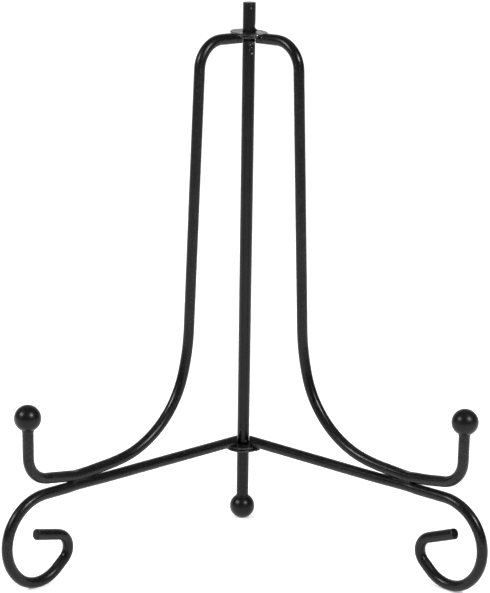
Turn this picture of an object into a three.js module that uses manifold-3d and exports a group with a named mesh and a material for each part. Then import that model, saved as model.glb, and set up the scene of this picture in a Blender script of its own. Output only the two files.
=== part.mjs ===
// A folding wire plate stand in black powder-coated steel, in millimetres, +Z up.
// An upright post carries two wings that swing on it like a book's covers. Each wing is a back wire,
// which the plate leans on and whose front end is a hook, welded on a foot wire that ends in a scroll.
// The origin is where the post's axis meets the table. The plate faces -Y.
import * as THREE from 'three';
import { mergeVertices } from 'three/addons/utils/BufferGeometryUtils.js';
import Module from 'manifold-3d';

const wasm = await Module();
wasm.setup();

// Stock sizes, with their coat.
const WIRE_RADIUS = 2.0;
const POST_RADIUS = 2.35;
const BALL_RADIUS = 4.875;
const TAB_THICKNESS = 0.8;

// Clearance kept between separate solids.
const GAP = 0.3;

// Heights and places.
const POST_TOP = 211.5;
const BACK_WIRE_HEIGHT = 198.1;
const FOOT_WIRE_HEIGHT = 33.95;
const WIRE_START = 3.5;
const WING_ANGLE = 47.1;
const HOOK_BALL_HEIGHT = 67.4;
const REST_FLAT_DEPTH = 0.1;

// Hinge tabs: the left wing's pair lies inside the right wing's pair.
const TAB_HOLE_RADIUS = 2.65;
const INNER_TAB_RADIUS = 7.0;
const OUTER_TAB_RADIUS = 7.3;
const TOP_SEAT_HEIGHT = BACK_WIRE_HEIGHT;
const BOTTOM_SEAT_HEIGHT = 32.6;
const SEAT_END = OUTER_TAB_RADIUS + GAP;
const TAB_PITCH = TAB_THICKNESS + GAP;

// Staked lugs on the post's right side, which keep the tabs in place: half sizes and offset of each
// swelling, and how far above or below its middle it still stands out past the tabs' holes.
const LUG = new THREE.Vector3(2.2, 1.4, 1.2);
const LUG_OFFSET = 1.0;
const LUG_REACH = 0.8;

// The weld bead on the outer bottom tab's rim.
const BEAD_REACH = 1.0;
const BEAD_WIDTH = 1.8;
const BEAD_OVERLAP = 0.05;

// Bends of each wire, from the hinge outwards: a straight length, then an arc of this radius and
// turn in degrees, positive upwards.
const BACK_WIRE_BENDS = [
  { straight: 11.1, radius: 11.1, turn: -87.4 },
  { straight: 100.8, radius: 79.0, turn: 13.6 },
  { straight: 0, radius: 38.3, turn: 63.6 },
  { straight: 0, radius: 64.0, turn: 8.2 },
  { straight: 8.6, radius: 67.0, turn: 12.0 },
  { straight: 6.0, radius: 9.9, turn: 80.0 },
];
const FOOT_WIRE_SLOPE = 1.2;
const FOOT_WIRE_BENDS = [
  { straight: 98.0, radius: 17.65, turn: -139.0 },
  { straight: 0, radius: 12.95, turn: -82.3 },
  { straight: 4.2, radius: 6.15, turn: -122.1 },
];
const SCROLL_TAIL = 13.0;

// Fineness of the faceted solids, and the cutting blocks' width.
const WIRE_SIDES = 12;
const POST_SIDES = 24;
const ROUND_SIDES = 32;
const BALL_RINGS = 12;
const ARC_STEP = 9;
const STRAIGHT_STEP = 12;
const LUG_SIDES = 16;
const LUG_RINGS = 12;
const MERGE_DISTANCE = 1e-4;
const BLOCK_WIDTH = 12;

const STEEL_COAT = { color: 0x141414, roughness: 0.42, metalness: 0.0 };

// A bent wire's centre line in its wing's plane: x is the distance from the post's axis, z the height.
class BentWire extends THREE.Curve {
  constructor(height, slope, bends, tail) {
    super();
    this.position = new THREE.Vector3(WIRE_START, 0, height);
    this.heading = THREE.MathUtils.degToRad(slope);
    this.points = [this.position.clone()];
    this.tangents = [this.direction()];
    for (const bend of bends) {
      this.addStraight(bend.straight);
      this.addArc(bend.radius, THREE.MathUtils.degToRad(bend.turn));
    }
    this.addStraight(tail);
  }

  direction() {
    return new THREE.Vector3(Math.cos(this.heading), 0, Math.sin(this.heading));
  }

  addStation() {
    this.points.push(this.position.clone());
    this.tangents.push(this.direction());
  }

  addStraight(length) {
    const steps = Math.ceil(length / STRAIGHT_STEP);
    for (let i = 0; i < steps; i++) {
      this.position.addScaledVector(this.direction(), length / steps);
      this.addStation();
    }
  }

  addArc(radius, turn) {
    const steps = Math.ceil(Math.abs(THREE.MathUtils.radToDeg(turn)) / ARC_STEP);
    const chord = 2 * radius * Math.sin(Math.abs(turn) / steps / 2);
    for (let i = 0; i < steps; i++) {
      this.heading += turn / steps / 2;
      this.position.addScaledVector(this.direction(), chord);
      this.heading += turn / steps / 2;
      this.addStation();
    }
  }

  getPointAt(u) {
    return this.points[Math.round(u * (this.points.length - 1))].clone();
  }

  getTangentAt(u) {
    return this.tangents[Math.round(u * (this.tangents.length - 1))].clone();
  }

  get steps() {
    return this.points.length - 1;
  }

  get end() {
    return this.points[this.points.length - 1];
  }
}

// The wire's section: a many-sided outline whose flats touch the round wire.
function wireSection() {
  const cornerRadius = WIRE_RADIUS / Math.cos(Math.PI / WIRE_SIDES);
  const corners = [];
  for (let i = 0; i < WIRE_SIDES; i++) {
    const angle = (2 * Math.PI * (i + 0.5)) / WIRE_SIDES;
    corners.push(new THREE.Vector2(cornerRadius * Math.cos(angle), cornerRadius * Math.sin(angle)));
  }
  return new THREE.Shape(corners);
}

function sweepWire(path) {
  const options = { steps: path.steps, extrudePath: path, bevelEnabled: false };
  return new THREE.ExtrudeGeometry(wireSection(), options);
}

// A solid of revolution about +Z from a profile of [radius, height] points, listed upwards.
function turned(profile, sides) {
  const outline = profile.map(([radius, height]) => new THREE.Vector2(radius, height));
  const geometry = new THREE.LatheGeometry(outline, sides);
  geometry.rotateX(Math.PI / 2);
  return geometry;
}

function toSolid(geometry) {
  const bare = geometry.clone();
  bare.deleteAttribute('normal');
  bare.deleteAttribute('uv');
  const merged = mergeVertices(bare, MERGE_DISTANCE);
  const vertProperties = new Float32Array(merged.attributes.position.array);
  const triVerts = new Uint32Array(merged.index.array);
  return new wasm.Manifold(new wasm.Mesh({ numProp: 3, vertProperties, triVerts }));
}

function toGeometry(solid) {
  const mesh = solid.getMesh();
  const geometry = new THREE.BufferGeometry();
  geometry.setAttribute('position', new THREE.BufferAttribute(new Float32Array(mesh.vertProperties), 3));
  geometry.setIndex(new THREE.BufferAttribute(new Uint32Array(mesh.triVerts), 1));
  geometry.computeVertexNormals();
  return geometry;
}

// A cutting block between two distances along the wing and two heights, wider than any wire.
function block(fromX, toX, fromZ, toZ) {
  const geometry = new THREE.BoxGeometry(toX - fromX, BLOCK_WIDTH, toZ - fromZ);
  geometry.translate((fromX + toX) / 2, 0, (fromZ + toZ) / 2);
  return geometry;
}

function cut(geometry, ...cutters) {
  let solid = toSolid(geometry);
  for (const cutter of cutters) {
    solid = solid.subtract(toSolid(cutter));
  }
  return toGeometry(solid);
}

function join(geometry, ...others) {
  let solid = toSolid(geometry);
  for (const other of others) {
    solid = solid.add(toSolid(other));
  }
  return toGeometry(solid);
}

function piece(name, geometry) {
  const mesh = new THREE.Mesh(geometry, new THREE.MeshStandardMaterial(STEEL_COAT));
  mesh.name = name;
  return mesh;
}

// A ball about its own centre, cut flat under and over, each cut given by its distance from the centre.
function ball(flatBelow, flatAbove) {
  const low = Math.asin(flatBelow / BALL_RADIUS);
  const high = Math.asin(flatAbove / BALL_RADIUS);
  const profile = [[0, -flatBelow]];
  for (let i = 0; i <= BALL_RINGS; i++) {
    const angle = -low + ((low + high) * i) / BALL_RINGS;
    profile.push([BALL_RADIUS * Math.cos(angle), BALL_RADIUS * Math.sin(angle)]);
  }
  if (flatAbove < BALL_RADIUS) {
    profile.push([0, flatAbove]);
  } else {
    profile[profile.length - 1] = [0, BALL_RADIUS];
  }
  return turned(profile, ROUND_SIDES);
}

// The distance from a ball's centre of a flat that is just as wide as the bar butted on it.
function seatDistance(barRadius) {
  return Math.sqrt(BALL_RADIUS ** 2 - barRadius ** 2);
}

// A hinge tab: a flat ring round the post, with its lower face at the given height.
function tab(radius, height) {
  const top = height + TAB_THICKNESS;
  const profile = [
    [TAB_HOLE_RADIUS, height],
    [radius, height],
    [radius, top],
    [TAB_HOLE_RADIUS, top],
    [TAB_HOLE_RADIUS, height],
  ];
  return turned(profile, ROUND_SIDES);
}

function lug(height) {
  const geometry = new THREE.SphereGeometry(1, LUG_SIDES, LUG_RINGS);
  geometry.rotateX(Math.PI / 2);
  geometry.scale(LUG.x, LUG.y, LUG.z);
  geometry.translate(LUG_OFFSET, 0, height);
  return geometry;
}

// The post has a lug over and one under the top tabs, and one over the bottom tabs.
function buildPost(bottom) {
  const bar = turned([[0, bottom], [POST_RADIUS, bottom], [POST_RADIUS, POST_TOP], [0, POST_TOP]], POST_SIDES);
  const overTopTabs = lug(TOP_SEAT_HEIGHT + 2 * TAB_PITCH + GAP + LUG_REACH);
  const underTopTabs = lug(TOP_SEAT_HEIGHT - LUG_REACH);
  const overBottomTabs = lug(BOTTOM_SEAT_HEIGHT + LUG_REACH);
  return join(bar, overTopTabs, underTopTabs, overBottomTabs);
}

// The back wire, its end pressed to half its thickness where the top tabs lie.
function buildBackWire(path) {
  const seat = block(0, SEAT_END, TOP_SEAT_HEIGHT, POST_TOP);
  return cut(sweepWire(path), seat);
}

// The foot wire, with a shallow seat under its end for the bottom tabs and a flat where the scroll stands.
function buildFootWire(path) {
  const seat = block(0, SEAT_END, BOTTOM_SEAT_HEIGHT - WIRE_RADIUS, BOTTOM_SEAT_HEIGHT);
  const table = block(SEAT_END, 2 * path.end.x, -WIRE_RADIUS, 0);
  return cut(sweepWire(path), seat, table);
}

// The bead that joins the outer bottom tab's rim to the wire above it, clear of the inner tab.
function weldBead(height) {
  const top = FOOT_WIRE_HEIGHT - WIRE_RADIUS - GAP;
  const bead = new THREE.BoxGeometry(BEAD_REACH, BEAD_WIDTH, top - height);
  bead.translate(OUTER_TAB_RADIUS + BEAD_REACH / 2 - BEAD_OVERLAP, 0, (top + height) / 2);
  return bead;
}

function buildWing(side, backPath, footPath) {
  const outer = side === 'right';
  const tabRadius = outer ? OUTER_TAB_RADIUS : INNER_TAB_RADIUS;
  const topTab = TOP_SEAT_HEIGHT + GAP + (outer ? TAB_PITCH : 0);
  const bottomTab = BOTTOM_SEAT_HEIGHT - GAP - TAB_THICKNESS - (outer ? TAB_PITCH : 0);
  const bottomRing = tab(tabRadius, bottomTab);

  const hookBall = piece(`${side}_hook_ball`, ball(seatDistance(WIRE_RADIUS), BALL_RADIUS));
  hookBall.position.set(backPath.end.x, 0, HOOK_BALL_HEIGHT);

  const wing = new THREE.Group();
  wing.add(piece(`${side}_back_wire`, buildBackWire(backPath)));
  wing.add(piece(`${side}_foot_wire`, buildFootWire(footPath)));
  wing.add(hookBall);
  wing.add(piece(`${side}_top_hinge_tab`, tab(tabRadius, topTab)));
  wing.add(piece(`${side}_bottom_hinge_tab`, outer ? join(bottomRing, weldBead(bottomTab)) : bottomRing));
  return wing;
}

// The hook's upright end is as long as it takes to meet the ball's seat.
function backWirePath() {
  const bent = new BentWire(BACK_WIRE_HEIGHT, 0, BACK_WIRE_BENDS, 0);
  const upright = HOOK_BALL_HEIGHT - seatDistance(WIRE_RADIUS) - GAP - bent.end.z;
  return new BentWire(BACK_WIRE_HEIGHT, 0, BACK_WIRE_BENDS, upright);
}

const stand = new THREE.Group();

const rearBall = piece('rear_ball_foot', ball(BALL_RADIUS - REST_FLAT_DEPTH, seatDistance(POST_RADIUS)));
rearBall.position.set(0, 0, BALL_RADIUS - REST_FLAT_DEPTH);
stand.add(rearBall);
stand.add(piece('post', buildPost(rearBall.position.z + seatDistance(POST_RADIUS) + GAP)));

const backPath = backWirePath();
const footPath = new BentWire(FOOT_WIRE_HEIGHT, FOOT_WIRE_SLOPE, FOOT_WIRE_BENDS, SCROLL_TAIL);
for (const [side, turn] of [['left', -WING_ANGLE], ['right', WING_ANGLE]]) {
  const wing = buildWing(side, backPath, footPath);
  wing.rotation.z = THREE.MathUtils.degToRad(turn - 90);
  stand.add(wing);
}

export default stand;
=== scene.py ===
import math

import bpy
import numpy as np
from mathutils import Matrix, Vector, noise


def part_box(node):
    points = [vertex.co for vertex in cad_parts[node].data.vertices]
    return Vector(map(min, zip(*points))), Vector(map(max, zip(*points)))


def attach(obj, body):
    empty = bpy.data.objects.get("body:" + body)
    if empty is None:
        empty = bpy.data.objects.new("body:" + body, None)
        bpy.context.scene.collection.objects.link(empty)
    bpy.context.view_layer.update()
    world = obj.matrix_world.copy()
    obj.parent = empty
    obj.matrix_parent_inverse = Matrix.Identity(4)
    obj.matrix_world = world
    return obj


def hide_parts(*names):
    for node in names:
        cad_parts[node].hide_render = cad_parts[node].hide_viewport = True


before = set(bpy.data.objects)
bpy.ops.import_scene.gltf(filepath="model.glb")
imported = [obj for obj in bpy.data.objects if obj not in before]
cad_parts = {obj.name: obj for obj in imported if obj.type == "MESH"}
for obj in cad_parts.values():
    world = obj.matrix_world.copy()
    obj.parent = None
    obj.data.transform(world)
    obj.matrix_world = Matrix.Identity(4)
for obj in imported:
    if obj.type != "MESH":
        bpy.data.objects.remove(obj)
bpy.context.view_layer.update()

# The looks of a folding wire plate stand: bent and welded steel wire in black powder coat.
# Sizes are in millimetres up to the point where a mesh is made, and Blender's are in metres.
# Each wing is modelled flat, in its own plane (x outwards from the post, y across, z up), and then
# turned into place.

MM = 0.001


# ---------------------------------------------------------------- sizes taken from the frame

def box_mm(node):
    low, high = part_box(node)
    return np.array(low) / MM, np.array(high) / MM


POST_LOW, POST_HIGH = box_mm("post")
POST_RADIUS = -POST_LOW[0]
POST_BOTTOM = POST_LOW[2]
POST_TOP = POST_HIGH[2]

REAR_BALL_LOW, REAR_BALL_HIGH = box_mm("rear_ball_foot")
BALL_RADIUS = (REAR_BALL_HIGH[0] - REAR_BALL_LOW[0]) / 2
REST_FLAT_DEPTH = 0.1
REAR_BALL_HEIGHT = BALL_RADIUS - REST_FLAT_DEPTH

HOOK_LOW, HOOK_HIGH = box_mm("right_hook_ball")
HOOK_X, HOOK_Y = ((HOOK_LOW + HOOK_HIGH) / 2)[:2]
HOOK_REACH = math.hypot(HOOK_X, HOOK_Y)
HOOK_BALL_HEIGHT = HOOK_HIGH[2] - BALL_RADIUS
WING_ANGLE = math.atan2(HOOK_X, -HOOK_Y)

INNER_TAB_RADIUS = box_mm("left_top_hinge_tab")[1][0]
OUTER_TAB_RADIUS = box_mm("right_top_hinge_tab")[1][0]
TAB_HOLE_RADIUS = 2.65

# ---------------------------------------------------------------- sizes of the wires

WIRE_RADIUS = 2.0
WIRE_START = 3.5
# The powder coat that stands proud of the wires, the post and the balls.
COAT = 0.12
COATED_WIRE = WIRE_RADIUS + COAT
BACK_WIRE_HEIGHT = 198.1
BACK_WIRE_SLOPE = 0.0
BACK_WIRE_BENDS = [
    {"straight": 11.1, "radius": 11.1, "turn": -87.4},
    {"straight": 100.8, "radius": 79.0, "turn": 13.6},
    {"straight": 0, "radius": 38.3, "turn": 63.6},
    {"straight": 0, "radius": 64.0, "turn": 8.2},
    {"straight": 8.6, "radius": 67.0, "turn": 12.0},
    {"straight": 6.0, "radius": 9.9, "turn": 80.0},
]
FOOT_WIRE_HEIGHT = 33.95
FOOT_WIRE_SLOPE = 1.2
FOOT_WIRE_BENDS = [
    {"straight": 98.0, "radius": 17.65, "turn": -139.0},
    {"straight": 0, "radius": 12.95, "turn": -82.3},
]
# The last bend was made by hand, so each side's scroll ends a little differently.
SCROLL_END_BEND = {
    "left": {"straight": 4.2, "radius": 6.15, "turn": -125.0},
    "right": {"straight": 4.2, "radius": 6.15, "turn": -117.4},
}
SCROLL_TAIL = {"left": 10.8, "right": 13.0}
# The straight runs are above the first height, with the scrolls below it. The hooks are below the second.
RUN_LOWEST = 30
HOOK_HIGHEST = 60

# A wire is pressed flat where it lies on its tab, and gets its round section back past the tab's rim.
# The left wing's lower flat is a little below the right wing's.
TOP_SEAT_HEIGHT = 198.1
BOTTOM_SEAT_HEIGHT = 32.6
BOTTOM_SEAT_DROP = {"left": 0.28, "right": 0.0}
SEAT_END = OUTER_TAB_RADIUS + 0.3
SEAT_FADE_START = SEAT_END - 0.35
SEAT_FADE_END = SEAT_END + 0.55
SEAT_RELEASE = 2.6 * WIRE_RADIUS
TOP_SEAT_SOFTNESS = 0.30
BOTTOM_SEAT_SOFTNESS = 0.25
TOP_SEAT_SPREAD = 0.10
BOTTOM_SEAT_SPREAD = 0.04
SEAT_FAINTEST = 0.001

# Where each wing's back wire is welded on its foot wire, how far the weld pressed them together, and how
# quickly that dies away from the weld outwards and towards the post.
CROSS_WELD_X = {"left": 87.0, "right": 84.0}
BACK_WIRE_SET_DOWN = 0.28
FOOT_WIRE_SET_UP = 0.25
WELD_PULL_OUTWARD = 3.2
WELD_PULL_INWARD = 11.0

# The flat that the welder's electrode leaves.
DENT_HALF_LENGTH = 2.1
DENT_DEPTH = 0.26
DENT_SOFTNESS = 0.25
DENT_SWELLING = 0.035
DENT_FAINTEST = 0.02

# How far behind the hook's ball the plate rubs the back wire, over what length, and how far the wire goes
# into the ball.
CRADLE_OFFSET = 6
CRADLE_HALF_LENGTH = 9.0
WIRE_IN_BALL = 0.6

# How far the coat is rubbed at each kind of place, from 0 to 1. On sheared rims, lugs and tab rims the
# lighter colour is also a painted highlight.
EDGE_WEAR_AND_HIGHLIGHT = 0.55
CRADLE_WEAR = 0.06
SOLE_WEAR = 0.75
LUG_WEAR_AND_HIGHLIGHT = 0.62
TAB_RIM_WEAR_AND_HIGHLIGHT = 0.45
TAB_HOLE_WEAR = 0.40

# ---------------------------------------------------------------- fineness and unevenness

STATION_STEP = 0.5
WIRE_SIDES = 40
ROUND_SIDES = 96
LUMP_DETAIL = 4

# The flat soles of the feet: how round their edge is, and how high above the table they are rubbed.
SOLE_SOFTNESS = 0.05
SCROLL_SOLE_DEPTH = 0.12
BALL_SOLE_DEPTH = 0.10

# The coat's unevenness: the lumps' height and size in millimetres, and a number that picks their pattern.
WIRE_LUMPS = [(0.022, 3.2, 1.0), (0.012, 1.3, 2.0)]
POST_LUMPS = [(0.020, 3.5, 3.0), (0.012, 1.2, 4.0)]
BALL_LUMP_HEIGHT = 0.020
BALL_LUMP_SIZE = 2.6
HOOK_BALL_PATTERN = 5.0
REAR_BALL_PATTERN = 9.0


# ---------------------------------------------------------------- small mathematics

def smoothstep(low, high, value):
    t = np.clip((value - low) / (high - low), 0.0, 1.0)
    return t * t * (3 - 2 * t)


def bell(value, middle, half_width):
    return np.exp(-(((value - middle) / half_width) ** 2))


def soft_min(a, b, softness):
    """The smaller of two values, with a rounded change from one to the other."""
    h = np.clip(0.5 + 0.5 * (b - a) / softness, 0.0, 1.0)
    return b * (1 - h) + a * h - softness * h * (1 - h)


def lumpiness(points, size, seed):
    """Smooth noise between about -1 and 1 at each point, with lumps of the given size."""
    shift = Vector((17.3 * seed, -9.1 * seed, 4.7 * seed))
    flat = points.reshape(-1, 3)
    values = [noise.noise(Vector(p) / size + shift) for p in flat]
    return np.array(values).reshape(points.shape[:-1])


def uneven_coat(points, lumps):
    """How much the coat adds at each point, from rows of (height, size, pattern)."""
    return sum(height * lumpiness(points, size, pattern) for height, size, pattern in lumps)


def stand_flat(rings):
    """Flattens what would be below the table, with a small round edge."""
    rings[..., 2] = -soft_min(-rings[..., 2], 0.0 * rings[..., 2], SOLE_SOFTNESS)


# ---------------------------------------------------------------- materials

class Nodes:
    """A short way to write a node tree."""

    def __init__(self, material):
        self.tree = material.node_tree
        self.tree.nodes.clear()

    def add(self, kind, **settings):
        node = self.tree.nodes.new(kind)
        for name, value in settings.items():
            setattr(node, name, value)
        return node

    def link(self, output, target):
        self.tree.links.new(output, target)

    def noise(self, vector, scale, detail=2.0, roughness=0.5):
        node = self.add("ShaderNodeTexNoise")
        node.inputs["Scale"].default_value = scale
        node.inputs["Detail"].default_value = detail
        node.inputs["Roughness"].default_value = roughness
        self.link(vector, node.inputs["Vector"])
        return node.outputs["Fac"]

    def remap(self, value, from_low, from_high, to_low, to_high):
        node = self.add("ShaderNodeMapRange", interpolation_type="SMOOTHSTEP")
        node.inputs["From Min"].default_value = from_low
        node.inputs["From Max"].default_value = from_high
        node.inputs["To Min"].default_value = to_low
        node.inputs["To Max"].default_value = to_high
        self.link(value, node.inputs["Value"])
        return node.outputs["Result"]

    def maths(self, operation, a, b):
        node = self.add("ShaderNodeMath", operation=operation)
        for socket, value in zip(node.inputs, (a, b)):
            if isinstance(value, (int, float)):
                socket.default_value = value
            else:
                self.link(value, socket)
        return node.outputs["Value"]

    def mix(self, factor, a, b):
        node = self.add("ShaderNodeMix", data_type="RGBA")
        self.link(factor, node.inputs["Factor"])
        for name, value in (("A", a), ("B", b)):
            socket = [s for s in node.inputs if s.name == name and s.type == "RGBA"][0]
            if isinstance(value, tuple):
                socket.default_value = (*value, 1.0)
            else:
                self.link(value, socket)
        return [s for s in node.outputs if s.type == "RGBA"][0]

    def bump(self, height, strength, distance, normal=None):
        node = self.add("ShaderNodeBump")
        node.inputs["Strength"].default_value = strength
        node.inputs["Distance"].default_value = distance
        self.link(height, node.inputs["Height"])
        if normal is not None:
            self.link(normal, node.inputs["Normal"])
        return node.outputs["Normal"]


COAT_DARK = (0.0022, 0.0022, 0.0023)
COAT_LIGHT = (0.0052, 0.0052, 0.0053)
DUST = (0.045, 0.044, 0.042)
RUBBED_AND_HIGHLIT_COAT = (0.055, 0.054, 0.053)
BARE_STEEL_AND_GLINT = (0.32, 0.31, 0.30)
COAT_IOR = 1.285

# How many times each pattern repeats in a metre.
PATCH_SCALE = 45.0
GLOSS_SCALE = 70.0
FILM_SCALE = 160.0
ORANGE_PEEL_SCALE = 850.0
GRIT_SCALE = 1400.0
SPECK_SCALE = 1900.0
GRAIN_SCALE = 5200.0
ORANGE_PEEL_HEIGHT = 0.00009
GRAIN_HEIGHT = 0.00002


def powder_coat(name, gloss_low, gloss_high, peel):
    """Black powder coat: orange peel, patchy gloss, a little dust on top, and rubbed or bare edges, which
    are also lightened as painted highlights on rims and lugs and painted glints on spatter.

    gloss_low and gloss_high are the lowest and highest roughness, and peel is the orange peel's strength.
    """
    material = bpy.data.materials.new(name)
    material.use_nodes = True
    n = Nodes(material)
    place = n.add("ShaderNodeTexCoord").outputs["Object"]
    shader = n.add("ShaderNodeBsdfPrincipled")
    output = n.add("ShaderNodeOutputMaterial")
    n.link(shader.outputs["BSDF"], output.inputs["Surface"])

    patches = n.noise(place, PATCH_SCALE, 4.0, 0.55)
    colour = n.mix(n.remap(patches, 0.3, 0.7, 0.0, 1.0), COAT_DARK, COAT_LIGHT)

    normal = n.add("ShaderNodeNewGeometry").outputs["Normal"]
    split = n.add("ShaderNodeSeparateXYZ")
    n.link(normal, split.inputs["Vector"])
    upward = n.remap(split.outputs["Z"], 0.55, 1.0, 0.0, 1.0)
    specks = n.remap(n.noise(place, SPECK_SCALE, 3.0, 0.6), 0.56, 0.74, 0.0, 0.55)
    film = n.remap(n.noise(place, FILM_SCALE, 3.0, 0.5), 0.35, 0.75, 0.02, 0.16)
    dust = n.maths("MULTIPLY", upward, n.maths("ADD", specks, film))
    colour = n.mix(dust, colour, DUST)

    # This attribute carries real wear and also painted highlights and glints; where it is high the colour
    # is lighter, up to bare steel.
    wear_and_highlight = n.add("ShaderNodeAttribute", attribute_name="wear_and_highlight").outputs["Fac"]
    grit = n.noise(place, GRIT_SCALE, 4.0, 0.65)
    rubbed_and_highlit = n.remap(n.maths("ADD", wear_and_highlight, n.maths("MULTIPLY", grit, 0.7)), 0.62, 1.05, 0.0, 1.0)
    bare_and_glinting = n.remap(n.maths("ADD", wear_and_highlight, n.maths("MULTIPLY", grit, 0.9)), 1.22, 1.36, 0.0, 1.0)
    colour = n.mix(rubbed_and_highlit, colour, RUBBED_AND_HIGHLIT_COAT)
    colour = n.mix(bare_and_glinting, colour, BARE_STEEL_AND_GLINT)
    n.link(colour, shader.inputs["Base Color"])
    n.link(bare_and_glinting, shader.inputs["Metallic"])

    gloss = n.remap(n.noise(place, GLOSS_SCALE, 5.0, 0.6), 0.3, 0.72, gloss_low, gloss_high)
    gloss = n.maths("ADD", gloss, n.maths("MULTIPLY", dust, 0.35))
    gloss = n.maths("SUBTRACT", gloss, n.maths("MULTIPLY", rubbed_and_highlit, 0.06))
    n.link(gloss, shader.inputs["Roughness"])
    shader.inputs["IOR"].default_value = COAT_IOR

    orange_peel = n.noise(place, ORANGE_PEEL_SCALE, 2.0, 0.45)
    fine_grain = n.noise(place, GRAIN_SCALE, 2.0, 0.5)
    relief = n.bump(orange_peel, peel, ORANGE_PEEL_HEIGHT)
    relief = n.bump(fine_grain, 0.35 * peel, GRAIN_HEIGHT, relief)
    n.link(relief, shader.inputs["Normal"])
    return material


WIRE_COAT = powder_coat("powder_coat_on_wire", 0.22, 0.33, 0.26)
BALL_COAT = powder_coat("powder_coat_on_balls", 0.30, 0.38, 0.20)
TAB_COAT = powder_coat("powder_coat_on_tabs", 0.20, 0.30, 0.30)
WELD_COAT = powder_coat("powder_coat_on_welds", 0.22, 0.36, 0.50)


# ---------------------------------------------------------------- mesh making

def make_object(name, points, faces, wear_and_highlight, material, turn):
    """A smooth mesh object from points in millimetres, turned about the post's axis."""
    mesh = bpy.data.meshes.new(name)
    mesh.from_pydata([tuple(p) for p in points * MM], [], faces)
    mesh.update()
    attribute = mesh.attributes.new("wear_and_highlight", "FLOAT", "POINT")
    attribute.data.foreach_set("value", np.asarray(wear_and_highlight, np.float32))
    mesh.transform(Matrix.Rotation(turn, 4, "Z"))
    mesh.polygons.foreach_set("use_smooth", [True] * len(mesh.polygons))
    mesh.materials.append(material)
    obj = bpy.data.objects.new(name, mesh)
    bpy.context.scene.collection.objects.link(obj)
    return obj


def skin_rings(rings, closed_along=False):
    """Quads between rings of points. Open rows get a fan at each end, closed rows join end to start."""
    rows, sides = rings.shape[:2]
    points = rings.reshape(-1, 3)
    faces = []
    for row in range(rows if closed_along else rows - 1):
        here = row * sides
        there = ((row + 1) % rows) * sides
        for i in range(sides):
            j = (i + 1) % sides
            faces.append((here + i, here + j, there + j, there + i))
    if not closed_along:
        first, last = len(points), len(points) + 1
        points = np.vstack([points, rings[0].mean(0), rings[-1].mean(0)])
        end = (rows - 1) * sides
        for i in range(sides):
            j = (i + 1) % sides
            faces.append((first, j, i))
            faces.append((last, end + i, end + j))
    return points, faces


def ring_object(name, rings, wear_and_highlight, material, turn=0.0, closed_along=False):
    points, faces = skin_rings(rings, closed_along)
    wear_and_highlight = np.asarray(wear_and_highlight, float).reshape(-1)
    spare = len(points) - len(wear_and_highlight)
    wear_and_highlight = np.concatenate([wear_and_highlight, np.zeros(spare)])
    return make_object(name, points, faces, wear_and_highlight, material, turn)


def finish_piece(obj, body, *nodes):
    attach(obj, body)
    if nodes:
        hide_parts(*nodes)
    return obj


def turned_rings(profile, sides=ROUND_SIDES):
    """Rings of a solid of revolution about +Z from (radius, height) points."""
    angles = np.linspace(0, 2 * math.pi, sides, endpoint=False)
    profile = np.array(profile)
    rings = np.empty((len(profile), sides, 3))
    rings[..., 0] = profile[:, :1] * np.cos(angles)
    rings[..., 1] = profile[:, :1] * np.sin(angles)
    rings[..., 2] = profile[:, 1:]
    return rings


def arc_points(centre, radius, start, stop, count):
    """Points on an arc in a profile, with angles in degrees from the +radius direction."""
    angles = np.radians(np.linspace(start, stop, count))
    return [(centre[0] + radius * math.cos(a), centre[1] + radius * math.sin(a)) for a in angles]


# ---------------------------------------------------------------- bent wires

# Each wing's wires come up closer to the post than the frame has them, and are nipped narrower there.
NIPPED_END = 0.65
NIPPED_WIDTH = 0.85
NIP_END = WIRE_START + 0.15

# The ends are also cut slanting, so that they lie beside the post and not in front of it: the distance
# of the cut from the middle of the stand, and the length of wire over which the slant dies away.
END_CUT_X = 2.5
END_CUT_LENGTH = 5.0

# A tight bend leaves the wire a little oval. These are multiplied by the bend's curvature.
BEND_WIDENS = 0.10
BEND_FLATTENS = 0.18

# The sheared end of a wire under its coat: how far in from the end, and how wide, as a share of the wire.
SHEARED_END = [(0.0, 0.30), (0.0, 0.62), (0.02, 0.82), (0.10, 0.93), (0.24, 0.98), (0.45, 1.0)]
# The rubbed edge, lightened also as a painted highlight, is where the width is near this share, within this
# spread.
RIM_SHARE = 0.96
RIM_SPREAD = 0.05


def wire_line(height, slope, bends, tail):
    """A bent wire's centre line: distance from the axis, height, heading, length so far and curvature."""
    heading, length = math.radians(slope), 0.0
    x, z = WIRE_START - NIPPED_END, height - NIPPED_END * math.tan(heading)
    stations = [(x, z, heading, length, 0.0)]
    legs = []
    for bend in bends:
        turn = math.radians(bend["turn"])
        legs.append((bend["straight"], 0.0, 0.0))
        legs.append((bend["radius"] * abs(turn), turn, 1.0 / bend["radius"]))
    legs.append((tail, 0.0, 0.0))
    legs[0] = (legs[0][0] + NIPPED_END, 0.0, 0.0)
    for distance, turn, curvature in legs:
        if distance <= 0:
            continue
        steps = math.ceil(distance / STATION_STEP)
        half = turn / steps / 2
        chord = distance / steps * (math.sin(abs(half)) / abs(half) if half else 1.0)
        for _ in range(steps):
            heading += half
            x += chord * math.cos(heading)
            z += chord * math.sin(heading)
            heading += half
            length += distance / steps
            stations.append((x, z, heading, length, curvature))
    return np.array(stations).T


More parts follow.
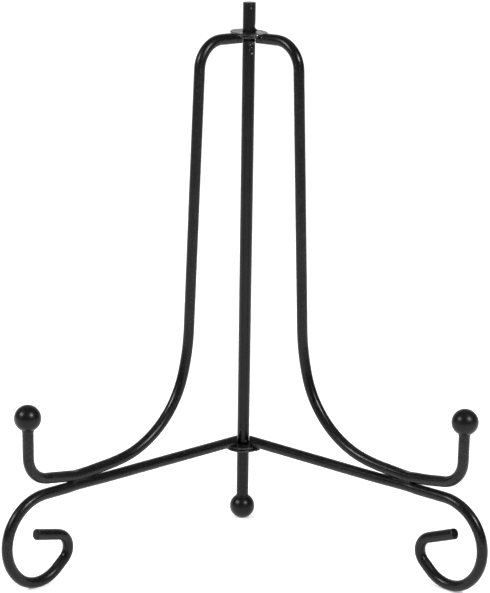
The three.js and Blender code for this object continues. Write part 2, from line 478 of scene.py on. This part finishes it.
def wire_rings(line, shape_section):
    """Rings round a wire, how near each point is to a sheared edge, and each point's x and z.

    shape_section may change the section's offsets across the wing's plane and within it.
    """
    x, z, heading, length, curvature = line
    total = length[-1]
    ends = np.array(SHEARED_END)
    first, last = ends[-1, 0] + STATION_STEP / 2, total - ends[-1, 0] - STATION_STEP / 4
    middle = np.arange(first, last, STATION_STEP)
    at = np.concatenate([ends[:, 0], middle, total - ends[::-1, 0]])
    width = np.concatenate([ends[:, 1], np.ones(len(middle)), ends[::-1, 1]])
    x = np.interp(at, length, x)[:, None]
    z = np.interp(at, length, z)[:, None]
    heading = np.interp(at, length, heading)[:, None]
    curvature = np.interp(at, length, curvature)[:, None]
    angles = np.linspace(0, 2 * math.pi, WIRE_SIDES, endpoint=False)[None, :]
    across = COATED_WIRE * np.cos(angles) * np.ones_like(x)
    within = COATED_WIRE * np.sin(angles) * np.ones_like(x)
    across = across * (1 + BEND_WIDENS * curvature)
    within = within * (1 - BEND_FLATTENS * curvature)
    across, within = shape_section(x, z, across, within)
    past_nip = smoothstep(WIRE_START - NIPPED_END, NIP_END, x)
    across = across * (NIPPED_WIDTH + (1 - NIPPED_WIDTH) * past_nip)
    across = across * width[:, None]
    within = within * width[:, None]
    rings = np.stack([x - within * np.sin(heading), across, z + within * np.cos(heading)], axis=-1)
    outward = np.stack([-within * np.sin(heading), across, within * np.cos(heading)], axis=-1) / COATED_WIRE
    coat = uneven_coat(rings, WIRE_LUMPS)
    rings = rings + outward * coat[..., None]
    edge = bell(width, RIM_SHARE, RIM_SPREAD)[:, None] * np.ones_like(across)
    return rings, edge, x * np.ones_like(across), z * np.ones_like(across)


def slant_end(rings, side):
    """Cuts the wire's end beside the post parallel to the stand's middle plane."""
    lateral = 1.0 if side == "right" else -1.0
    start = WIRE_START - NIPPED_END
    along, across = rings[..., 0], rings[..., 1]
    cut = (END_CUT_X - lateral * across * math.cos(WING_ANGLE)) / math.sin(WING_ANGLE)
    extra = np.maximum(cut - start, 0.0) * (rings[..., 2] > RUN_LOWEST)
    rings[..., 0] = along + extra * np.clip(1 - (along - start) / END_CUT_LENGTH, 0.0, 1.0)


def electrode_dent(across, within, x, middle, side):
    """The flat on a wire's upper side (side is 1) or lower side (-1), and the swelling beside it."""
    press = bell(x, middle, DENT_HALF_LENGTH)
    limit = COATED_WIRE - DENT_DEPTH * press
    pressed = soft_min(side * within, limit + 0.0 * within, DENT_SOFTNESS)
    within = np.where(press > DENT_FAINTEST, side * pressed, within)
    return across * (1 + DENT_SWELLING * press), within


def weld_pull(x, middle):
    """How much of the weld's set-down a wire has at x: it dies away more slowly towards the post."""
    return bell(x, middle, np.where(x > middle, WELD_PULL_OUTWARD, WELD_PULL_INWARD))


def hook_upright_length():
    """The length of the hook's upright end, up to just inside its ball."""
    bent = wire_line(BACK_WIRE_HEIGHT, BACK_WIRE_SLOPE, BACK_WIRE_BENDS, 0.0)
    seat = math.sqrt(BALL_RADIUS ** 2 - WIRE_RADIUS ** 2)
    return HOOK_BALL_HEIGHT - seat + WIRE_IN_BALL - bent[1][-1]


def seated(x):
    """How far a wire's section is pressed on its tab at x, from 1 on the tab to 0 past its rim."""
    return 1 - smoothstep(SEAT_FADE_START, SEAT_FADE_END, x)


def make_back_wire(side, turn):
    line = wire_line(BACK_WIRE_HEIGHT, BACK_WIRE_SLOPE, BACK_WIRE_BENDS, hook_upright_length())
    weld = CROSS_WELD_X[side]
    line[1] -= BACK_WIRE_SET_DOWN * weld_pull(line[0], weld)

    def shape_section(x, z, across, within):
        on_seat = seated(x)
        limit = TOP_SEAT_HEIGHT - z + SEAT_RELEASE * (1 - on_seat)
        pressed = soft_min(within, limit, TOP_SEAT_SOFTNESS)
        within = np.where(on_seat > SEAT_FAINTEST, pressed, within)
        across = across * (1 + TOP_SEAT_SPREAD * on_seat)
        return electrode_dent(across, within, x, weld, 1.0)

    rings, edge, x, z = wire_rings(line, shape_section)
    slant_end(rings, side)
    # The plate rubs the wire behind the hook.
    cradle = bell(x, HOOK_REACH - CRADLE_OFFSET, CRADLE_HALF_LENGTH) * (z < HOOK_HIGHEST)
    # The sheared ends' rims are lightened for wear and as a painted highlight.
    wear_and_highlight = EDGE_WEAR_AND_HIGHLIGHT * edge + CRADLE_WEAR * cradle
    return ring_object(f"{side}_back_rod", rings, wear_and_highlight, WIRE_COAT, turn)


def make_foot_wire(side, turn):
    bends = FOOT_WIRE_BENDS + [SCROLL_END_BEND[side]]
    line = wire_line(FOOT_WIRE_HEIGHT, FOOT_WIRE_SLOPE, bends, SCROLL_TAIL[side])
    weld = CROSS_WELD_X[side]
    line[1] += FOOT_WIRE_SET_UP * weld_pull(line[0], weld) * (line[1] > RUN_LOWEST)

    def shape_section(x, z, across, within):
        on_run = z > RUN_LOWEST
        on_seat = seated(x) * on_run
        limit = z - BOTTOM_SEAT_HEIGHT + BOTTOM_SEAT_DROP[side] + SEAT_RELEASE * (1 - on_seat)
        pressed = -soft_min(-within, limit, BOTTOM_SEAT_SOFTNESS)
        within = np.where(on_seat > SEAT_FAINTEST, pressed, within)
        across = across * (1 + BOTTOM_SEAT_SPREAD * on_seat)
        dented_across, dented_within = electrode_dent(across, within, x, weld, -1.0)
        return np.where(on_run, dented_across, across), np.where(on_run, dented_within, within)

    rings, edge, _, _ = wire_rings(line, shape_section)
    slant_end(rings, side)
    # The scroll stands on a small flat in its coat, which rubs on the table.
    stand_flat(rings)
    sole = bell(rings[..., 2], 0.0, SCROLL_SOLE_DEPTH)
    # The sheared ends' rims are lightened for wear and as a painted highlight.
    wear_and_highlight = EDGE_WEAR_AND_HIGHLIGHT * edge + SOLE_WEAR * sole
    return ring_object(f"{side}_foot_rod", rings, wear_and_highlight, WIRE_COAT, turn)


# ---------------------------------------------------------------- post, balls and tabs

COATED_POST = POST_RADIUS + COAT

# Staked lugs on the post: height, whether the chisel struck from above (1) or below (-1), reach from the
# axis, and degrees round from the right, where less than 0 is towards the front.
LUGS = [(200.75, 1.0, 3.2, 0.0), (196.6, -1.0, 2.9, -50.0), (33.3, 1.0, 2.9, -50.0)]
LUG_HALF_WIDTH = 1.25
LUG_HALF_HEIGHT = 0.5
# The groove that the chisel left beside each lug.
GROOVE_OFFSET = 1.6
GROOVE_HALF_HEIGHT = 0.5
GROOVE_DEPTH = 0.14

# A nick at the front right near the top, where the shear's holder pressed.
NICK_ANGLE = math.radians(288)
NICK_HALF_ANGLE = 0.22
NICK_DEPTH = 0.50
NICK_BELOW_TOP = 1.3
NICK_HALF_HEIGHT = 1.05

# The post's chamfered lower end, sunk in its ball: how far up, and how wide, as a share of the post.
POST_SUNK = 0.7
POST_CHAMFER = [(0.0, 0.5), (0.0, 0.90), (0.5, 0.93), (1.2, 0.97), (2.0, 0.995), (2.6, 1.0)]
# The steps between the post's rings, and how close to its top or a lug the fine ones are used.
FINE_STEP = 0.22
COARSE_STEP = 1.2
FINE_NEAR_TOP = 5
FINE_NEAR_LUG = 4.5
# The sheared top has its own rings, and the plain rings stop below them.
TOP_ZONE = 1.0
TOP_CLEARANCE = 0.6
TOP_DOME = 0.10
TOP_DOMED_SHARE = 0.9
POST_RIM_SPREAD = 0.04
# How far out from the post's radius the wear and painted highlight on a lug start, and where they are full.
LUG_WEAR_AND_HIGHLIGHT_START = 0.35
LUG_WEAR_AND_HIGHLIGHT_FULL = 0.75


def staked_radius(radius, angle, height):
    """The post's radius, with the lugs that a chisel raised to keep the tabs in place, and the nick."""
    for middle, struck_from, lug_reach, around in LUGS:
        offset = angle - math.radians(around)
        sideways = radius * np.sin(offset)
        facing = np.cos(offset) > 0
        reach = bell(sideways, 0.0, LUG_HALF_WIDTH) * facing
        sharp = np.exp(-np.abs((height - middle) / LUG_HALF_HEIGHT) ** 3)
        radius = radius + (lug_reach - COATED_POST) * reach * sharp
        groove = bell(height, middle + struck_from * GROOVE_OFFSET, GROOVE_HALF_HEIGHT)
        radius = radius - GROOVE_DEPTH * reach * groove
    nick_round = bell(angle, NICK_ANGLE, NICK_HALF_ANGLE)
    return radius - NICK_DEPTH * nick_round * bell(height, POST_TOP - NICK_BELOW_TOP, NICK_HALF_HEIGHT)


def make_post():
    """The post: a sheared top, staked lugs, and a chamfered lower end where the ball is welded on."""
    heights = [POST_BOTTOM - POST_SUNK + rise for rise, _ in POST_CHAMFER]
    scales = [share for _, share in POST_CHAMFER]
    height = heights[-1]
    while height < POST_TOP - TOP_ZONE:
        to_nearest_lug = min(abs(height - middle) for middle, *_ in LUGS)
        fine = height > POST_TOP - FINE_NEAR_TOP or to_nearest_lug < FINE_NEAR_LUG
        height += FINE_STEP if fine else COARSE_STEP
        if height < POST_TOP - TOP_CLEARANCE:
            heights.append(height)
            scales.append(1.0)
    for inset, width in SHEARED_END[::-1]:
        heights.append(POST_TOP - inset)
        scales.append(width)
    heights = np.array(heights)[:, None]
    scales = np.array(scales)[:, None]
    angles = np.linspace(0, 2 * math.pi, ROUND_SIDES, endpoint=False)[None, :]
    radius = staked_radius(COATED_POST * np.ones_like(angles * heights), angles, heights)
    radius = radius * scales
    rings = np.stack([radius * np.cos(angles), radius * np.sin(angles), heights + 0 * radius], axis=-1)
    coat = uneven_coat(rings, POST_LUMPS)
    rings[..., 0] += coat * np.cos(angles)
    rings[..., 1] += coat * np.sin(angles)
    # The shear left the top very slightly domed and rolled its rim over.
    rings[..., 2] -= TOP_DOME * (scales < TOP_DOMED_SHARE) * (radius / POST_RADIUS) ** 2
    edge = bell(scales, RIM_SHARE, POST_RIM_SPREAD) * (heights > POST_TOP - TOP_ZONE)
    edge = edge * np.ones_like(radius)
    # The post's sheared rim and its lugs are lightened for wear and as a painted highlight.
    proud = smoothstep(POST_RADIUS + LUG_WEAR_AND_HIGHLIGHT_START, POST_RADIUS + LUG_WEAR_AND_HIGHLIGHT_FULL, radius)
    return ring_object("post_bar", rings, EDGE_WEAR_AND_HIGHLIGHT * edge + LUG_WEAR_AND_HIGHLIGHT * proud, WIRE_COAT)


HOOK_BALL_SHOULDER = 0.6
REAR_BALL_SHOULDER = 0.5
REAR_BALL_SWELL = 1.02
REAR_BALL_BAR_INSET = 0.12
WELD_UPSET = 0.17
# The ball's surface in degrees of latitude: how far above its neck it starts, and where its cap begins.
BALL_START = 5.5
BALL_CAP = 88.5
BALL_STEPS = 54
BALL_TIP_RADIUS = 0.02


def ball_profile(bar_radius, shoulder):
    """A ball's outline about its centre, from the upset weld on its bar, over to its far side."""
    neck = math.sqrt(BALL_RADIUS ** 2 - bar_radius ** 2)
    upset = bar_radius + WELD_UPSET
    sleeve = [
        (bar_radius - 0.25, -neck - shoulder - 0.55),
        (bar_radius + 0.02, -neck - shoulder - 0.45),
        (bar_radius + 0.10, -neck - shoulder - 0.15),
        (upset, -neck - 0.55 * shoulder),
        (upset + 0.05, -neck - 0.25 * shoulder),
        (upset + 0.02, -neck - 0.02),
    ]
    start = math.degrees(math.asin(-neck / BALL_RADIUS)) + BALL_START
    sphere = arc_points((0, 0), BALL_RADIUS + COAT, start, BALL_CAP, BALL_STEPS)
    return sleeve + sphere + [(BALL_TIP_RADIUS, BALL_RADIUS + COAT)]


def uneven_ball(rings, pattern):
    lumps = BALL_LUMP_HEIGHT * lumpiness(rings, BALL_LUMP_SIZE, pattern)
    distance = np.linalg.norm(rings, axis=-1, keepdims=True)
    return rings * (1 + lumps[..., None] / distance)


def make_hook_ball(side, turn):
    rings = turned_rings(ball_profile(COATED_WIRE, HOOK_BALL_SHOULDER))
    rings = uneven_ball(rings, HOOK_BALL_PATTERN + turn)
    rings += np.array([HOOK_REACH, 0.0, HOOK_BALL_HEIGHT])
    wear_and_highlight = np.zeros(rings.shape[:2])
    return ring_object(f"{side}_hook_knob", rings, wear_and_highlight, BALL_COAT, turn)


def make_rear_ball():
    """The rear foot is the same ball upside down, swollen a little by its thicker coat, and worn flat."""
    rings = turned_rings(ball_profile(COATED_POST - REAR_BALL_BAR_INSET, REAR_BALL_SHOULDER))
    rings[..., 2] *= -1
    rings = uneven_ball(rings[:, ::-1], REAR_BALL_PATTERN) * REAR_BALL_SWELL
    rings[..., 2] += REAR_BALL_HEIGHT
    stand_flat(rings)
    sole = bell(rings[..., 2], 0.0, BALL_SOLE_DEPTH)
    return ring_object("rear_ball", rings, SOLE_WEAR * sole, BALL_COAT)


TAB_THICKNESS = 0.8
THIN_TAB_THICKNESS = 0.72
TOP_TAB_TILT = 3.3
TAB_MIDDLES = {
    "left_top_hinge_tab": 198.55,
    "right_top_hinge_tab": 199.78,
    "left_bottom_hinge_tab": 31.9,
    "right_bottom_hinge_tab": 30.8,
}
# The radii of a tab's rolled-over upper rim, its sharper lower rim and the edges of its hole.
ROLLED_RIM = 0.26
SHARP_RIM = 0.12
HOLE_EDGE = 0.16
TAB_LUMP_HEIGHT = 0.025
TAB_LUMP_SIZE = 2.2
TAB_PATTERN = 11.0
TAB_COAT_SINK = 0.01
# Where the wear and painted highlight on a tab's rim start and are full, in from its rim, and where the
# wear is full and ends, out from its hole.
RIM_WEAR_AND_HIGHLIGHT_START = 0.30
RIM_WEAR_AND_HIGHLIGHT_FULL = 0.05
HOLE_WEAR_FULL = 0.05
HOLE_WEAR_END = 0.5


def tab_profile(radius, thickness):
    """A stamped ring's closed profile: a rolled-over upper rim and a sharper lower one."""
    top, bottom = thickness / 2, -thickness / 2
    outer_edge, inner_edge = radius - ROLLED_RIM, TAB_HOLE_RADIUS + HOLE_EDGE
    outer = arc_points((radius - SHARP_RIM, bottom + SHARP_RIM), SHARP_RIM, -90, 0, 5)
    outer += arc_points((outer_edge, top - ROLLED_RIM), ROLLED_RIM, 0, 90, 8)
    inner = arc_points((inner_edge, top - HOLE_EDGE), HOLE_EDGE, 90, 180, 5)
    inner += arc_points((inner_edge, bottom + HOLE_EDGE), HOLE_EDGE, 180, 270, 5)
    web = np.linspace(0.15, 0.85, 8)
    upper = [(outer_edge + (inner_edge - outer_edge) * t, top) for t in web]
    lower = [(inner_edge + (outer_edge - inner_edge) * t, bottom) for t in web]
    return outer + upper + inner + lower


def make_tab(name, node, turn, thickness, tilt):
    """A hinge tab, as wide as its node. tilt lowers its side towards its own wire, in degrees."""
    low, high = box_mm(node)
    radius = high[0]
    rings = turned_rings(tab_profile(radius, thickness))
    coat = TAB_LUMP_HEIGHT * lumpiness(rings, TAB_LUMP_SIZE, TAB_PATTERN + low[2]) - TAB_COAT_SINK
    rings[..., 2] += coat * np.sign(rings[..., 2])
    rings[..., 2] -= math.tan(math.radians(tilt)) * rings[..., 0]
    rings[..., 2] += TAB_MIDDLES[node]
    distance = np.hypot(rings[..., 0], rings[..., 1])
    rim = smoothstep(radius - RIM_WEAR_AND_HIGHLIGHT_START, radius - RIM_WEAR_AND_HIGHLIGHT_FULL, distance)
    full, end = TAB_HOLE_RADIUS + HOLE_WEAR_FULL, TAB_HOLE_RADIUS + HOLE_WEAR_END
    eye = 1 - smoothstep(full, end, distance)
    # The rim's share is wear and also a painted highlight along the tab's edge; the hole's share is wear.
    wear_and_highlight = TAB_RIM_WEAR_AND_HIGHLIGHT * rim + TAB_HOLE_WEAR * eye
    return ring_object(name, rings, wear_and_highlight, TAB_COAT, turn, closed_along=True)


# ---------------------------------------------------------------- welds and spatter

# A bead's lumps, in half sizes of the bead, and how high the small ones are beside the large ones.
LARGE_LUMP = 0.75
SMALL_LUMP = 0.3
SMALL_LUMP_SHARE = 0.4


def lump_mesh(centre, half_size, seed, roughness):
    """A lumpy bead: points and faces of a displaced sphere."""
    bpy.ops.mesh.primitive_ico_sphere_add(subdivisions=LUMP_DETAIL, radius=1.0)
    maker = bpy.context.active_object
    points = np.array([v.co for v in maker.data.vertices])
    faces = [tuple(p.vertices) for p in maker.data.polygons]
    mesh = maker.data
    bpy.data.objects.remove(maker)
    bpy.data.meshes.remove(mesh)
    large = lumpiness(points, LARGE_LUMP, seed)
    small = lumpiness(points, SMALL_LUMP, seed + 1)
    swell = 1 + roughness * large + SMALL_LUMP_SHARE * roughness * small
    return points * swell[:, None] * np.array(half_size) + np.array(centre), faces


# Beads below this size are spatter; they get a lighter, partly bare colour than a weld, as a painted glint.
SPATTER_SIZE = 0.52
SPATTER_PAINTED_GLINT = 0.86
BEAD_WEAR = 0.12
BEAD_ROUGHNESS = 0.12
SPATTER_ROUGHNESS = 0.10
FIRST_BEAD_PATTERN = 3.0


def lumps_object(name, lumps, turn, roughness):
    """Several beads as one piece. Each is (centre, half sizes), in the wing's plane, in millimetres."""
    all_points, all_faces, wear_and_highlight = [], [], []
    for index, (centre, half_size) in enumerate(lumps):
        points, faces = lump_mesh(centre, half_size, FIRST_BEAD_PATTERN + index, roughness)
        shift = len(wear_and_highlight)
        all_points.append(points)
        all_faces += [tuple(i + shift for i in face) for face in faces]
        # Spatter gets a painted glint: its value here lightens it, up to bare steel.
        spatter_with_painted_glint = max(half_size) < SPATTER_SIZE
        wear_and_highlight += [SPATTER_PAINTED_GLINT if spatter_with_painted_glint else BEAD_WEAR] * len(points)
    return make_object(name, np.vstack(all_points), all_faces, wear_and_highlight, WELD_COAT, turn)


# The beads between the stacked wires: how far off their middle, each bead's place along them with its
# half height, a bead's half length and half width, and how far the beads are above the foot wire.
CROSS_WELD_ACROSS = 0.85
CROSS_WELD_BEADS = [(-5.2, 0.45), (-3.9, 0.5), (-2.6, 0.6), (-1.3, 0.66), (0.0, 0.7), (1.3, 0.62)]
CROSS_WELD_BEAD_SIZE = (1.15, 0.62)
CROSS_WELD_RISE = 0.15


def cross_weld_lumps(side):
    """The metal squeezed out on both sides of the joint between the stacked wires."""
    middle = CROSS_WELD_X[side]
    slope = math.tan(math.radians(FOOT_WIRE_SLOPE))
    joint = FOOT_WIRE_HEIGHT + slope * (middle - WIRE_START) + WIRE_RADIUS + CROSS_WELD_RISE
    beads = []
    for across in (-CROSS_WELD_ACROSS, CROSS_WELD_ACROSS):
        for along, half_height in CROSS_WELD_BEADS:
            centre = (middle + along, across, joint + slope * along)
            beads.append((centre, (*CROSS_WELD_BEAD_SIZE, half_height)))
    return beads


def tab_weld_lumps(side):
    """The beads between each tab's rim and its wire, and three specks of spatter, with a painted glint,
    round the right top tab's rim.
    """
    if side == "left":
        rim = INNER_TAB_RADIUS
        top, bottom = TAB_MIDDLES["left_top_hinge_tab"], TAB_MIDDLES["left_bottom_hinge_tab"]
        return [
            ((rim + 0.25, -0.9, top + 0.02), (0.62, 0.9, 0.34)),
            ((rim + 0.25, 0.8, top), (0.6, 1.0, 0.34)),
            ((rim + 0.15, -0.8, bottom + 0.25), (0.6, 0.95, 0.5)),
            ((rim + 0.15, 0.8, bottom + 0.25), (0.6, 0.95, 0.5)),
        ]
    rim = OUTER_TAB_RADIUS
    top, bottom = TAB_MIDDLES["right_top_hinge_tab"], TAB_MIDDLES["right_bottom_hinge_tab"]
    drop = rim * math.tan(math.radians(TOP_TAB_TILT))
    return [
        ((5.45, -4.70, top - 0.35), (0.30, 0.34, 0.26)),
        ((6.15, -3.75, top - 0.50), (0.22, 0.26, 0.22)),
        ((6.75, -2.75, top - 0.45), (0.28, 0.36, 0.30)),
        ((rim + 0.35, -0.9, top - drop + 0.1), (0.7, 0.95, 0.42)),
        ((rim + 0.30, 0.7, top - drop + 0.1), (0.7, 1.0, 0.42)),
        ((rim + 0.45, -0.3, bottom + 0.55), (0.58, 0.95, 0.9)),
        ((rim + 0.75, 0.5, bottom + 0.75), (0.7, 0.8, 0.8)),
    ]


def make_welds(side, turn):
    beads = cross_weld_lumps(side) + tab_weld_lumps(side)
    return lumps_object(f"{side}_weld_beads", beads, turn, BEAD_ROUGHNESS)


# Spatter on the post: height, degrees round from the front towards the right, and size.
POST_SPATTER = [
    (192.0, 30, 0.42),
    (195.4, 12, 0.34),
    (194.3, 27, 0.30),
    (193.4, 8, 0.26),
    (195.9, 34, 0.30),
    (38.6, -24, 0.28),
]
SPATTER_SUNK = 0.10
SPATTER_STRETCH = 1.2


def make_post_spatter():
    beads = []
    for height, around, size in POST_SPATTER:
        angle = math.radians(around - 90)
        distance = POST_RADIUS - SPATTER_SUNK
        centre = (distance * math.cos(angle), distance * math.sin(angle), height)
        beads.append((centre, (size, size, SPATTER_STRETCH * size)))
    # Each speck gets a painted glint, lighter and partly bare in colour.
    return lumps_object("post_spatter", beads, 0.0, SPATTER_ROUGHNESS)


# ---------------------------------------------------------------- the stand

def build_post():
    finish_piece(make_post(), "post", "post")
    finish_piece(make_rear_ball(), "post", "rear_ball_foot")
    finish_piece(make_post_spatter(), "post")


def build_wing(side):
    body = f"{side}_wing"
    swing = WING_ANGLE if side == "right" else -WING_ANGLE
    turn = swing - math.pi / 2
    thickness = TAB_THICKNESS if side == "left" else THIN_TAB_THICKNESS
    tilt = 0.0 if side == "left" else TOP_TAB_TILT
    top_node, bottom_node = f"{side}_top_hinge_tab", f"{side}_bottom_hinge_tab"
    finish_piece(make_back_wire(side, turn), body, f"{side}_back_wire")
    finish_piece(make_foot_wire(side, turn), body, f"{side}_foot_wire")
    finish_piece(make_hook_ball(side, turn), body, f"{side}_hook_ball")
    upper_tab = make_tab(f"{side}_upper_tab", top_node, turn, thickness, tilt)
    finish_piece(upper_tab, body, top_node)
    lower_tab = make_tab(f"{side}_lower_tab", bottom_node, turn, TAB_THICKNESS, 0.0)
    finish_piece(lower_tab, body, bottom_node)
    finish_piece(make_welds(side, turn), body)


# ---------------------------------------------------------------- studio

# The camera's place, its angles in degrees, and its lens and sensor in millimetres.
CAMERA_PLACE = (-11.5, -698.6, 282.1)
CAMERA_YAW = 0.936
CAMERA_PITCH = 15.05
CAMERA_ROLL = -0.83
CAMERA_LENS = 109.5
SENSOR = 36.0


def make_camera():
    """The camera in front: yaw turns right, pitch looks down, roll turns about the view."""
    yaw, pitch, roll = (math.radians(a) for a in (CAMERA_YAW, CAMERA_PITCH, CAMERA_ROLL))
    ahead = math.cos(pitch)
    forward = Vector((math.sin(yaw) * ahead, math.cos(yaw) * ahead, -math.sin(pitch)))
    level = Vector((math.cos(yaw), -math.sin(yaw), 0.0))
    down = forward.cross(level)
    right = level * math.cos(roll) + down * math.sin(roll)
    down = down * math.cos(roll) - level * math.sin(roll)
    axes = Matrix((right, -down, -forward)).transposed()
    data = bpy.data.cameras.new("camera")
    data.lens = CAMERA_LENS
    data.sensor_width = SENSOR
    data.clip_start = 0.01
    camera = bpy.data.objects.new("camera", data)
    camera.matrix_world = Matrix.Translation(Vector(CAMERA_PLACE) * MM) @ axes.to_4x4()
    bpy.context.scene.collection.objects.link(camera)
    bpy.context.scene.camera = camera


# The pale sweep, in metres: its front edge, its wall at the back, half its width, its height, and the
# radius of the curve between floor and wall. Then its looks.
SWEEP_FRONT = -7.0
SWEEP_BACK = 3.4
SWEEP_HALF_WIDTH = 7.0
SWEEP_HEIGHT = 3.2
SWEEP_CURVE = 1.2
SWEEP_CURVE_STEPS = 24
SWEEP_COLOUR = (0.90, 0.90, 0.90, 1)
SWEEP_ROUGHNESS = 0.95
SWEEP_SPECULAR = 0.05
SWEEP_GLOW = 0.36


def make_floor():
    """A plain, pale sweep: a floor that curves up into a wall far behind the stand."""
    material = bpy.data.materials.new("pale_sweep")
    material.use_nodes = True
    shader = material.node_tree.nodes["Principled BSDF"]
    shader.inputs["Base Color"].default_value = SWEEP_COLOUR
    shader.inputs["Roughness"].default_value = SWEEP_ROUGHNESS
    shader.inputs["Specular IOR Level"].default_value = SWEEP_SPECULAR
    shader.inputs["Emission Color"].default_value = (1, 1, 1, 1)
    shader.inputs["Emission Strength"].default_value = SWEEP_GLOW
    outline = [(SWEEP_FRONT, 0.0)]
    centre = (SWEEP_BACK - SWEEP_CURVE, SWEEP_CURVE)
    outline += arc_points(centre, SWEEP_CURVE, -90, 0, SWEEP_CURVE_STEPS)
    outline.append((SWEEP_BACK, SWEEP_HEIGHT))
    points, faces = [], []
    for y, z in outline:
        points += [(-SWEEP_HALF_WIDTH, y, z), (SWEEP_HALF_WIDTH, y, z)]
    for i in range(0, len(points) - 2, 2):
        faces.append((i, i + 1, i + 3, i + 2))
    mesh = bpy.data.meshes.new("floor")
    mesh.from_pydata(points, [], faces)
    mesh.polygons.foreach_set("use_smooth", [True] * len(mesh.polygons))
    mesh.materials.append(material)
    floor = bpy.data.objects.new("floor", mesh)
    bpy.context.scene.collection.objects.link(floor)


def softbox(name, place, aim, size, power):
    """A soft rectangular light at one place, facing another, in metres."""
    data = bpy.data.lights.new(name, "AREA")
    data.shape = "RECTANGLE"
    data.size, data.size_y = size
    data.energy = power
    light = bpy.data.objects.new(name, data)
    light.location = place
    light.rotation_euler = (Vector(place) - Vector(aim)).to_track_quat("Z", "Y").to_euler()
    bpy.context.scene.collection.objects.link(light)
    return light


# The lights: places, distances and sizes in metres, and powers in watts.
KEY_AIM = (0.0, -0.035, 0.1)
KEY_DISTANCE = 1.1
KEY_SIZE = (0.25, 0.25)
LEFT_KEY_POWER = 9.0
RIGHT_KEY_POWER = 11.5
LEFT_KEY_DIRECTION = (-0.74, -0.35, 0.57)
RIGHT_KEY_DIRECTION = (0.53, -0.57, 0.62)
BANK_PLACE = (0.0, 1.5, 1.5)
BANK_AIM = (0.0, 1.5, 0.0)
BANK_SIZE = (3.6, 3.2)
BANK_POWER = 30.0
WORLD_STRENGTH = 0.08


def make_lights():
    """Two small softboxes in front of the stand, and a wide bank over the sweep behind it."""
    keys = [
        ("left_key", LEFT_KEY_DIRECTION, LEFT_KEY_POWER),
        ("right_key", RIGHT_KEY_DIRECTION, RIGHT_KEY_POWER),
    ]
    for name, direction, power in keys:
        place = Vector(KEY_AIM) + Vector(direction).normalized() * KEY_DISTANCE
        softbox(name, place, KEY_AIM, KEY_SIZE, power)
    bank = softbox("overhead_bank", BANK_PLACE, BANK_AIM, BANK_SIZE, BANK_POWER)
    bank.visible_glossy = False
    bank.visible_camera = False
    world = bpy.data.worlds.new("studio")
    world.use_nodes = True
    background = world.node_tree.nodes["Background"]
    background.inputs["Color"].default_value = (1.0, 1.0, 1.0, 1)
    background.inputs["Strength"].default_value = WORLD_STRENGTH
    bpy.context.scene.world = world
    bpy.context.scene.view_settings.view_transform = "Standard"


make_camera()
make_floor()
make_lights()
build_post()
build_wing("left")
build_wing("right")
